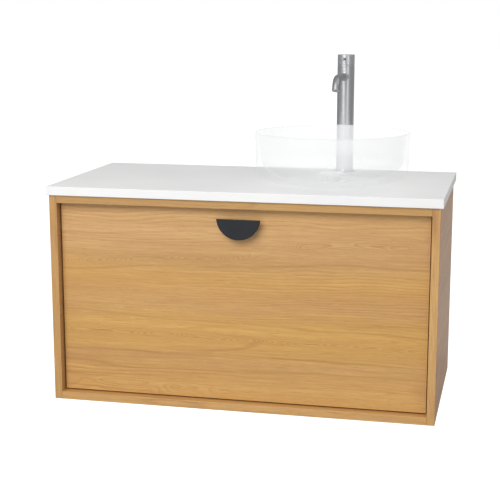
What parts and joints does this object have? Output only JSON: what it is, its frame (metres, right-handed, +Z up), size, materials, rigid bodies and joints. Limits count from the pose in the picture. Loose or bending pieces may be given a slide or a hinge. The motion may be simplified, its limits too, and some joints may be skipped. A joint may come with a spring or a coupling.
{
  "type": "wall-hung vanity with vessel sink",
  "caption": "Wall-hung oak vanity with one deep drawer on runners, a white countertop, a round translucent vessel basin to one side and a tall lever mixer tap behind it.",
  "frame": {"origin": "centre of the four wall-fixing holes, on the back plane that lies against the wall", "axes": "+X to the right seen from the front, +Y into the wall, +Z up"},
  "size_m": [0.9, 0.46, 0.793],
  "materials": {
    "oak": "satin oak veneer",
    "drawer_board": "matt board",
    "countertop": "matt white solid surface",
    "basin_glass": "polished, translucent",
    "brushed_steel": "fine brushed",
    "chrome": "polished",
    "rubber": "matt",
    "tap_plastic": "matt",
    "brass": "turned",
    "screw_steel": "zinc plated",
    "runner_steel": "zinc plated",
    "handle_black": "matt powder coat"
  },
  "bodies": {
    "cabinet": {"back_rail_lower": "oak", "back_rail_upper": "oak", "basin": "basin_glass", "basin_seal": "rubber", "bottom_panel": "oak", "cartridge_nut": "brass", "countertop": "countertop", "runner_left_cabinet": "runner_steel", "runner_right_cabinet": "runner_steel", "side_panel_left": "oak", "side_panel_right": "oak", "tap_aerator": "tap_plastic", "tap_base_ring": "brushed_steel", "tap_body": "brushed_steel", "tap_cartridge": "tap_plastic", "tap_gasket": "rubber", "tap_horseshoe": "brass", "tap_nut": "brass", "tap_spout": "brushed_steel", "tap_stud": "brass", "top_front_rail": "oak", "trap_body": "chrome", "trap_cup": "chrome", "trap_inlet_nut": "chrome", "trap_inlet_pipe": "chrome", "trap_outlet_nut": "chrome", "trap_outlet_pipe": "chrome", "waste_guide": "chrome", "waste_nut": "chrome", "waste_tube": "chrome", "waste_washer": "rubber"},
    "drawer": {"cutout_wall_front": "drawer_board", "cutout_wall_left": "drawer_board", "cutout_wall_right": "drawer_board", "drawer_back_left": "drawer_board", "drawer_back_right": "drawer_board", "drawer_bottom": "drawer_board", "drawer_bumper_left": "rubber", "drawer_bumper_right": "rubber", "drawer_front": "oak", "drawer_side_left": "drawer_board", "drawer_side_right": "drawer_board", "handle_plate": "handle_black", "handle_post_left": "handle_black", "handle_post_right": "handle_black", "handle_screw_left": "screw_steel", "handle_screw_right": "screw_steel", "runner_left_drawer": "runner_steel", "runner_right_drawer": "runner_steel"},
    "tap_turn": {"head_fork": "tap_plastic"},
    "tap_control": {"head_grub_screw": "screw_steel", "head_pivot_pin": "screw_steel", "tap_head": "brushed_steel", "tap_lever": "brushed_steel"},
    "runner_left_middle": {"runner_left_middle": "runner_steel"},
    "runner_right_middle": {"runner_right_middle": "runner_steel"},
    "plug": {"waste_plug": "chrome"}
  },
  "joints": [
    {"name": "drawer_slide", "type": "slide", "parent": "cabinet", "child": "drawer", "axis": [0, -1, 0], "range_m": [0, 0.35]},
    {"name": "runner_left_slide", "type": "slide", "parent": "cabinet", "child": "runner_left_middle", "axis": [0, -1, 0], "range_m": [0, 0.175]},
    {"name": "runner_right_slide", "type": "slide", "parent": "cabinet", "child": "runner_right_middle", "axis": [0, -1, 0], "range_m": [0, 0.175]},
    {"name": "mixer_turn", "type": "hinge", "parent": "cabinet", "child": "tap_turn", "pos_m": [0.175, -0.035, 0.5315], "axis": [0, 0, 1], "range_deg": [-45, 45]},
    {"name": "mixer_lift", "type": "hinge", "parent": "tap_turn", "child": "tap_control", "pos_m": [0.175, -0.035, 0.5315], "axis": [-1, 0, 0], "range_deg": [0, 15]},
    {"name": "plug_press", "type": "slide", "parent": "cabinet", "child": "plug", "axis": [0, 0, 1], "range_m": [0, 0.008]}
  ],
  "couplings": [
    {"joint": "runner_left_slide", "follows": "drawer_slide", "ratio": 0.5},
    {"joint": "runner_right_slide", "follows": "drawer_slide", "ratio": 0.5}
  ]
}
